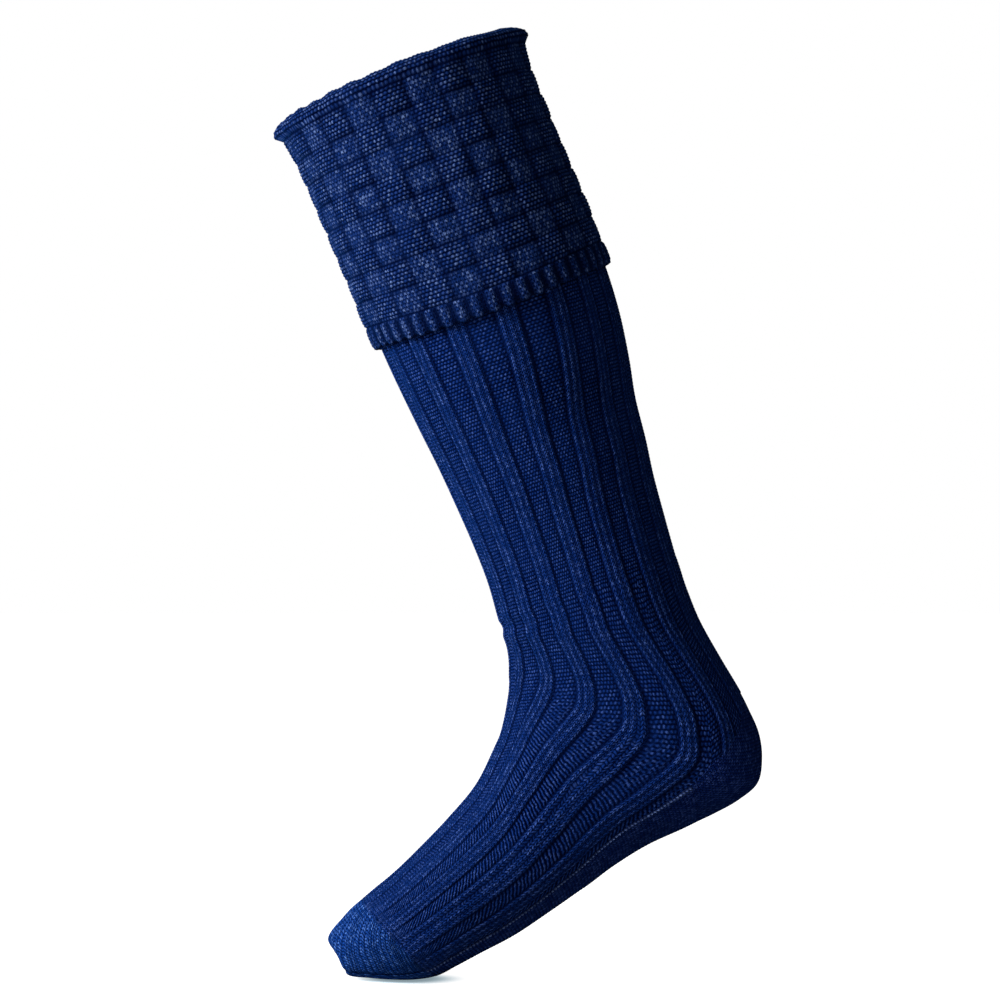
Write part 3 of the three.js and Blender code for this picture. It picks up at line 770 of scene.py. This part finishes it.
def blockRows():
    top, bottom = rim + cuff["foldDepth"], hem - cuff["hemBand"]
    acrossWave = np.sin(np.pi * cuffAcross / cuff["blockWales"])
    acrossBlock = np.abs(acrossWave) ** cuff["pinchPower"]
    sideDash = np.clip(1 - blockShade["sideFrom"] * acrossBlock, 0, 1)
    endSwing = np.clip(blockShade["endLevel"] + acrossWave, blockShade["endLeast"], 1)
    rows = []
    for n in range(2 * cuffCourses + 1):
        course = n / 2
        down = mix(top, bottom, course / cuffCourses)
        block = checked(cuffAcross, cuff["blockWales"]) * checked(course, cuff["blockCourses"])
        downBlock = np.abs(np.sin(np.pi * course / cuff["blockCourses"])) ** cuff["pinchPower"]
        level = cuff["pinchLevel"] - cuff["pinchShare"] * acrossBlock - cuff["pinchShare"] * downBlock
        sunk = cuff["blockRise"] * (0.5 - 0.5 * block) + cuff["pinch"] * level
        isPurl = cuff["purlShare"] + cuff["purlSwing"] * np.clip(block * cuff["purlSharpness"], -1, 1)
        roll = cuff["foldRoll"] * math.exp(-course / cuff["rollCourses"])
        stand = cuffOutside - sunk + roll + cuffStitches(course, isPurl)
        stand = stand + wander(cuffAcross, course, cuff["unevenness"], cuffWales)
        stand = stand + ear * np.exp(-np.maximum(down - rim, 0) / cuff["earHeight"])
        # painted shade: dark dashes at the blocks' ends and sides
        endDash = np.clip(1 - blockShade["endFrom"] * downBlock, 0, 1) * endSwing
        paintedShade = np.clip(blockShade["end"] * endDash + blockShade["side"] * sideDash, 0, 1)
        rows.append((down, stand, course, paintedShade, isPurl))
    return rows


def hemRows():
    # painted shade between the hem's ribs
    paintedShade = np.clip(hemShade["level"] - hemShade["swing"] * hemWave, 0, 1)
    rows = []
    for n in range(1, 2 * cuff["hemCourses"] + 1):
        course = n / 2
        share = course / cuff["hemCourses"]
        down = hem - cuff["hemBand"] * (1 - share) + cuff["scallop"] * hemWave * share ** 3
        ribs = cuff["hemRelief"] * hemWave * min(1, cuff["hemFadeIn"] * share)
        rounding = cuff["hemRound"] * max(0, share - cuff["hemRoundFrom"]) / (1 - cuff["hemRoundFrom"])
        stand = cuffOutside - cuff["hemSink"] + ribs - rounding
        stand = stand + cuff["hemStitch"] * math.cos(2 * math.pi * course)
        rows.append((down, stand, cuffCourses + course, paintedShade, 0.5))
    last = cuffCourses + cuff["hemCourses"] + 0.5
    # painted shade on the hem's turn, where it tucks under
    for drop, thickness in zip(hemTurn["drop"], hemTurn["thickness"]):
        stand = mix(cuff["clearance"], cuffOutside - hemTurn["sink"], thickness)
        rows.append((hem + drop + cuff["scallop"] * hemWave, stand, last, hemTurn["paintedShade"], 0))
    return rows


def liningRows():
    rows = []
    for n in range(1, cuff["insideRows"] + 1):
        share = n / cuff["insideRows"]
        down = mix(hem + hemTurn["drop"][-1], rim + cuff["foldDepth"], share)
        rows.append((down, cuff["clearance"], cuffCourses * (1 - share), insideShade, 0))
    return rows


def makeCuff():
    rows = foldRows() + blockRows() + hemRows() + liningRows()
    rows.append(rows[0])
    shape = cuffAcross.shape
    columns = [np.array([np.broadcast_to(value, shape) for value in column]) for column in zip(*rows)]
    down, stand, course, paintedShade, purl = columns
    angles, wale = np.tile(cuffAngle, (len(rows), 1)), np.tile(cuffStitch, (len(rows), 1))
    points = standOff(legSurface, angles.ravel(), down.ravel() / sock["legLength"], stand.ravel())
    attributes = {"wale": wale, "course": course, "paintedShade": paintedShade, "purl": purl}
    return closeUp(sockGrid("cuff_knit", points.reshape(down.shape + (3,)), attributes))


cuffPiece = makeCuff()
print("cuff:", len(cuffPiece.data.polygons), "faces")

# yarn: one dyed wool in copies a little lighter or darker; the toe's copy is lighter as painted light and the
# cuff's darker as painted shade; each also holds a painted shade colour and a painted highlight colour
yarn = {
    # painted shade: the cuff's copy is darker
    "cuff_knit": {
        "colour": (0.0052, 0.0195, 0.100), "deep": (0.0001, 0.0005, 0.007),
        "light": (0.085, 0.130, 0.26), "hollow": 0.0,
    },
    "rib_knit": {
        "colour": (0.0048, 0.0240, 0.142), "deep": (0.0001, 0.0006, 0.009),
        "light": (0.060, 0.110, 0.32), "hollow": 0.3,
    },
    "plain_knit": {
        "colour": (0.0036, 0.0160, 0.115), "deep": (0.0001, 0.0005, 0.008),
        "light": (0.060, 0.105, 0.34), "hollow": 0.0,
    },
    # painted light: the toe's copy is lighter, for the light falling on the toe
    "toe_knit": {
        "colour": (0.0060, 0.0380, 0.205), "deep": (0.0002, 0.0012, 0.014),
        "light": (0.080, 0.180, 0.46), "hollow": 0.0,
    },
}
wool = {
    "roughness": 0.9, "fuzz": 0.05, "fuzzRoughness": 0.45, "fuzzColour": (0.03, 0.25, 1.0, 1),
    "bump": 0.0005, "chainHighlightColour": (0.15, 0.22, 0.43), "chainHighlightLeast": 0.2,
}
stitchForm = {
    "wobble": 0.5, "wobbleScale": 0.45, "wobbleDetail": 2, "slant": 1.3, "legPower": 0.7,
    "legEdge": 0.4, "barEdge": 0.35, "strokeSlant": 0.7, "strokePower": 2.2,
    "strandScale": 5, "strandDetail": 3, "strandShare": 0.5,
}
stitchShade = {
    "uneven": 0.22, "gain": 1.7, "offset": -0.28, "paintedShade": 0.88, "speckPower": 3.0,
    "speckDepthPower": 2.0, "highlightSpeck": 0.9, "cloudScale": 38, "cloudDetail": 3, "cloudGain": 1.2,
    "cloudOffset": -0.4, "cloudShare": 0.35, "cloudColour": 0.72,
}
white = (1.0, 1.0, 1.0)


def maths(tree, operation, first, second=None, third=None):
    node = tree.nodes.new("ShaderNodeMath")
    node.operation = operation
    for socket, value in zip(node.inputs, (first, second, third)):
        if value is None:
            continue
        if isinstance(value, (int, float)):
            socket.default_value = value
        else:
            tree.links.new(value, socket)
    return node.outputs[0]


def blended(tree, share, first, second):
    node = tree.nodes.new("ShaderNodeMix")
    node.data_type = "RGBA"
    tree.links.new(share, node.inputs[0])
    for socket, value in zip((node.inputs[6], node.inputs[7]), (first, second)):
        if isinstance(value, tuple):
            socket.default_value = (*value, 1)
        else:
            tree.links.new(value, socket)
    return node.outputs[2]


def chosen(tree, share, first, second):
    node = tree.nodes.new("ShaderNodeMix")
    node.data_type = "FLOAT"
    tree.links.new(share, node.inputs[0])
    tree.links.new(first, node.inputs[2])
    tree.links.new(second, node.inputs[3])
    return node.outputs[0]


def attribute(tree, name):
    node = tree.nodes.new("ShaderNodeAttribute")
    node.attribute_name = name
    return node.outputs["Fac"]


def noise(tree, place, scale, detail, dimensions="2D"):
    node = tree.nodes.new("ShaderNodeTexNoise")
    node.noise_dimensions = dimensions
    node.inputs["Scale"].default_value = scale
    node.inputs["Detail"].default_value = detail
    tree.links.new(place, node.inputs["Vector"])
    return node.outputs["Fac"]


def stitchHeight(tree, wale, course):
    def calc(operation, *values):
        return maths(tree, operation, *values)

    def arch(value):
        # 0 at whole numbers, 1 halfway between them
        return calc("SINE", calc("MULTIPLY", calc("FRACT", value), math.pi))

    # knit stitches: two slanting legs to a wale
    side = calc("ABSOLUTE", calc("SUBTRACT", calc("FRACT", calc("ADD", wale, 0.5)), 0.5))
    legs = arch(calc("SUBTRACT", course, calc("MULTIPLY", side, stitchForm["slant"])))
    width = calc("SINE", calc("MULTIPLY", side, 2 * math.pi))
    width = calc("MULTIPLY_ADD", width, 1 - stitchForm["legEdge"], stitchForm["legEdge"])
    knit = calc("MULTIPLY", calc("POWER", legs, stitchForm["legPower"]), width)

    # purl stitches: bars laid like bricks
    brick = calc("MULTIPLY", calc("MODULO", calc("FLOOR", course), 2.0), 0.5)
    turn = calc("MULTIPLY", calc("SUBTRACT", wale, brick), 2 * math.pi)
    bead = calc("MULTIPLY_ADD", calc("COSINE", turn), 0.5, 0.5)
    bar = calc("MULTIPLY_ADD", bead, 1 - stitchForm["barEdge"], stitchForm["barEdge"])
    purl = calc("MULTIPLY", arch(course), bar)

    # drawn-out purl stitches round the foot: slanting strokes
    lean = calc("MULTIPLY", calc("ABSOLUTE", wale), stitchForm["strokeSlant"])
    stroke = calc("POWER", arch(calc("SUBTRACT", course, lean)), stitchForm["strokePower"])
    purl = chosen(tree, attribute(tree, "hatch"), purl, stroke)
    return chosen(tree, attribute(tree, "purl"), knit, purl)


def yarnColour(tree, wale, course, height, settings):
    def calc(operation, *values):
        return maths(tree, operation, *values)

    def clamped(value):
        return calc("MINIMUM", calc("MAXIMUM", value, 0.0), 1.0)

    # each stitch catches the light differently
    stitch = tree.nodes.new("ShaderNodeTexWhiteNoise")
    stitch.noise_dimensions = "2D"
    cell = tree.nodes.new("ShaderNodeCombineXYZ")
    tree.links.new(calc("FLOOR", calc("MULTIPLY", wale, 2.0)), cell.inputs[0])
    tree.links.new(calc("FLOOR", course), cell.inputs[1])
    tree.links.new(cell.outputs[0], stitch.inputs["Vector"])
    chance = stitch.outputs["Value"]
    uneven = calc("MULTIPLY_ADD", chance, stitchShade["uneven"], 1 - stitchShade["uneven"])

    # painted shade: dark in the grooves, in the hollows and low between stitches; painted highlight: pale
    # specks on the tops of a few stitches
    # depth is the lit share: 1 gives the yarn's colour, 0 its painted shade colour, by stitch height
    depth = calc("MULTIPLY_ADD", calc("MULTIPLY", height, uneven), stitchShade["gain"], stitchShade["offset"])
    # painted shade carried by the mesh: grooves, crease, edges and inside
    paintedShade = calc("MULTIPLY", attribute(tree, "paintedShade"), stitchShade["paintedShade"])
    depth = calc("MULTIPLY", clamped(depth), calc("SUBTRACT", 1.0, paintedShade))
    # painted shade: the purl stitches, recessed in the rib knitting, are darker
    hollow = calc("MULTIPLY", attribute(tree, "purl"), settings["hollow"])
    depth = calc("MULTIPLY", depth, calc("SUBTRACT", 1.0, hollow))
    colour = blended(tree, depth, settings["deep"], settings["colour"])
    # painted highlight: pale specks on the tops of a few stitches, picked at random by stitch
    high = calc("POWER", depth, stitchShade["speckDepthPower"])
    highlightSpeck = calc("MULTIPLY", calc("POWER", chance, stitchShade["speckPower"]), high)
    colour = blended(tree, clamped(calc("MULTIPLY", highlightSpeck, stitchShade["highlightSpeck"])), colour, settings["light"])

    # cloudy patches in the dye, and painted highlight on the chain along the sole
    place = tree.nodes.new("ShaderNodeTexCoord").outputs["Object"]
    cloudy = noise(tree, place, stitchShade["cloudScale"], stitchShade["cloudDetail"], "3D")
    patch = clamped(calc("MULTIPLY_ADD", cloudy, stitchShade["cloudGain"], stitchShade["cloudOffset"]))
    darker = tuple(stitchShade["cloudColour"] * part for part in settings["colour"])
    colour = blended(tree, calc("MULTIPLY", patch, stitchShade["cloudShare"]), colour, darker)
    chainHighlightShare = calc("MULTIPLY_ADD", chance, 1 - wool["chainHighlightLeast"], wool["chainHighlightLeast"])
    chainHighlightShare = calc("MULTIPLY", attribute(tree, "chainHighlight"), chainHighlightShare)
    return blended(tree, chainHighlightShare, colour, wool["chainHighlightColour"])


def yarnMaterial(name, settings):
    material = bpy.data.materials.new(name)
    material.use_nodes = True
    tree = material.node_tree
    shader = tree.nodes["Principled BSDF"]
    shader.inputs["Roughness"].default_value = wool["roughness"]
    shader.inputs["Specular IOR Level"].default_value = 0.0
    shader.inputs["Sheen Weight"].default_value = wool["fuzz"]
    shader.inputs["Sheen Roughness"].default_value = wool["fuzzRoughness"]
    shader.inputs["Sheen Tint"].default_value = wool["fuzzColour"]

    uvMap = tree.nodes.new("ShaderNodeUVMap")
    uvMap.uv_map = "stitches"
    uv = uvMap.outputs[0]
    split = tree.nodes.new("ShaderNodeSeparateXYZ")
    tree.links.new(uv, split.inputs[0])
    wobble = noise(tree, uv, stitchForm["wobbleScale"], stitchForm["wobbleDetail"])
    wobble = maths(tree, "MULTIPLY", maths(tree, "SUBTRACT", wobble, 0.5), stitchForm["wobble"])
    wale = maths(tree, "ADD", split.outputs[0], wobble)
    course = maths(tree, "ADD", split.outputs[1], wobble)
    height = stitchHeight(tree, wale, course)

    strands = noise(tree, uv, stitchForm["strandScale"], stitchForm["strandDetail"])
    bump = tree.nodes.new("ShaderNodeBump")
    bump.inputs["Strength"].default_value = 1.0
    bump.inputs["Distance"].default_value = wool["bump"]
    rough = maths(tree, "MULTIPLY_ADD", strands, stitchForm["strandShare"], height)
    tree.links.new(rough, bump.inputs["Height"])
    tree.links.new(bump.outputs[0], shader.inputs["Normal"])
    tree.links.new(yarnColour(tree, wale, course, height, settings), shader.inputs["Base Color"])
    return material


finish = {name: yarnMaterial(name, settings) for name, settings in yarn.items()}
dressing = [
    (cuffPiece, "turnover_cuff", "cuff_knit", (0.41, 0.15), "folded", ["leg"]),
    (legPiece, "leg", "rib_knit", (0.36, 0.31), "stretched", ["instep", "heel"]),
    (instepPiece, "instep", "rib_knit", (0.20, 0.22), "stretched", ["sole", "toe"]),
    (heelPiece, "heel", "plain_knit", (0.11, 0.06), "stretched", ["sole"]),
    (solePiece, "sole", "plain_knit", (0.09, 0.165), "stretched", ["toe"]),
    (toePiece, "toe", "toe_knit", (0.235, 0.05), "stretched", ["floor"]),
]
for piece, node, slot, flat, held, carriers in dressing:
    piece.data.materials.clear()
    piece.data.materials.append(finish[slot])
    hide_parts(node)
    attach(piece, "root")
print("yarn on:", len(finish), "finishes")

# room: pale floor, white surroundings, soft light from the upper left
room = {
    "ambient": 0.13, "floorSize": 16, "floorDrop": 0.0004, "floorRoughness": 0.9,
    # painted shadow round the toe: a pale blue floor colour and tint, and less glow
    "farFloor": (0.36, 0.36, 0.36), "shadowFloor": (0.50, 0.74, 0.90), "shadowTint": (0.70, 0.90, 1.0),
    "farGlow": 1.0, "shadowGlow": 0.35, "contact": (0.005, 0, 0), "nearTo": 0.012, "farFrom": 0.034,
}
lights = {
    "key_light": {"place": (-2.0, -0.95, 0.7), "size": 1.0, "power": 165},
    "fill_light": {"place": (-0.3, -2.6, 0.6), "size": 2.0, "power": 18},
}


def floorPaper():
    # white to the camera, and shaded where the toe stands on it: round the toe the glow is lowered and the
    # colour tinted pale blue, painted shadow over the real one
    paper = bpy.data.materials.new("floor_paper")
    paper.use_nodes = True
    tree = paper.node_tree
    shader = tree.nodes["Principled BSDF"]
    shader.inputs["Roughness"].default_value = room["floorRoughness"]
    fromToe = tree.nodes.new("ShaderNodeVectorMath")
    fromToe.operation = "DISTANCE"
    fromToe.inputs[1].default_value = room["contact"]
    tree.links.new(tree.nodes.new("ShaderNodeTexCoord").outputs["Object"], fromToe.inputs[0])
    away = tree.nodes.new("ShaderNodeMapRange")
    away.interpolation_type = "SMOOTHSTEP"
    away.inputs["From Min"].default_value = room["nearTo"]
    away.inputs["From Max"].default_value = room["farFrom"]
    tree.links.new(fromToe.outputs["Value"], away.inputs["Value"])
    ray = tree.nodes.new("ShaderNodeLightPath")
    glow = maths(tree, "MULTIPLY_ADD", away.outputs[0], room["farGlow"] - room["shadowGlow"], room["shadowGlow"])
    glow = maths(tree, "MULTIPLY", ray.outputs["Is Camera Ray"], glow)
    tree.links.new(glow, shader.inputs["Emission Strength"])
    base = blended(tree, away.outputs[0], room["shadowFloor"], room["farFloor"])
    tree.links.new(base, shader.inputs["Base Color"])
    tint = blended(tree, away.outputs[0], room["shadowTint"], white)
    tree.links.new(tint, shader.inputs["Emission Color"])
    return paper


bpy.ops.mesh.primitive_plane_add(size=room["floorSize"], location=(0, 0, cadBox[0][2] - room["floorDrop"]))
floor = bpy.context.object
floor.name = "floor"
floor.data.materials.append(floorPaper())

world = bpy.data.worlds.new("studio")
bpy.context.scene.world = world
world.use_nodes = True
sky = world.node_tree.nodes["Background"]
sky.inputs["Color"].default_value = (*white, 1)
seen = world.node_tree.nodes.new("ShaderNodeLightPath").outputs["Is Camera Ray"]
strength = maths(world.node_tree, "MULTIPLY_ADD", seen, 1 - room["ambient"], room["ambient"])
world.node_tree.links.new(strength, sky.inputs["Strength"])

for name, lamp in lights.items():
    place = Vector(lamp["place"])
    bpy.ops.object.light_add(type="AREA", location=place)
    light = bpy.context.object
    light.name = name
    light.rotation_euler = (middle - place).to_track_quat("-Z", "Y").to_euler()
    light.data.size = lamp["size"]
    light.data.energy = lamp["power"]
bpy.context.scene.view_settings.view_transform = "Standard"
print("room lit by", len(lights), "lights")
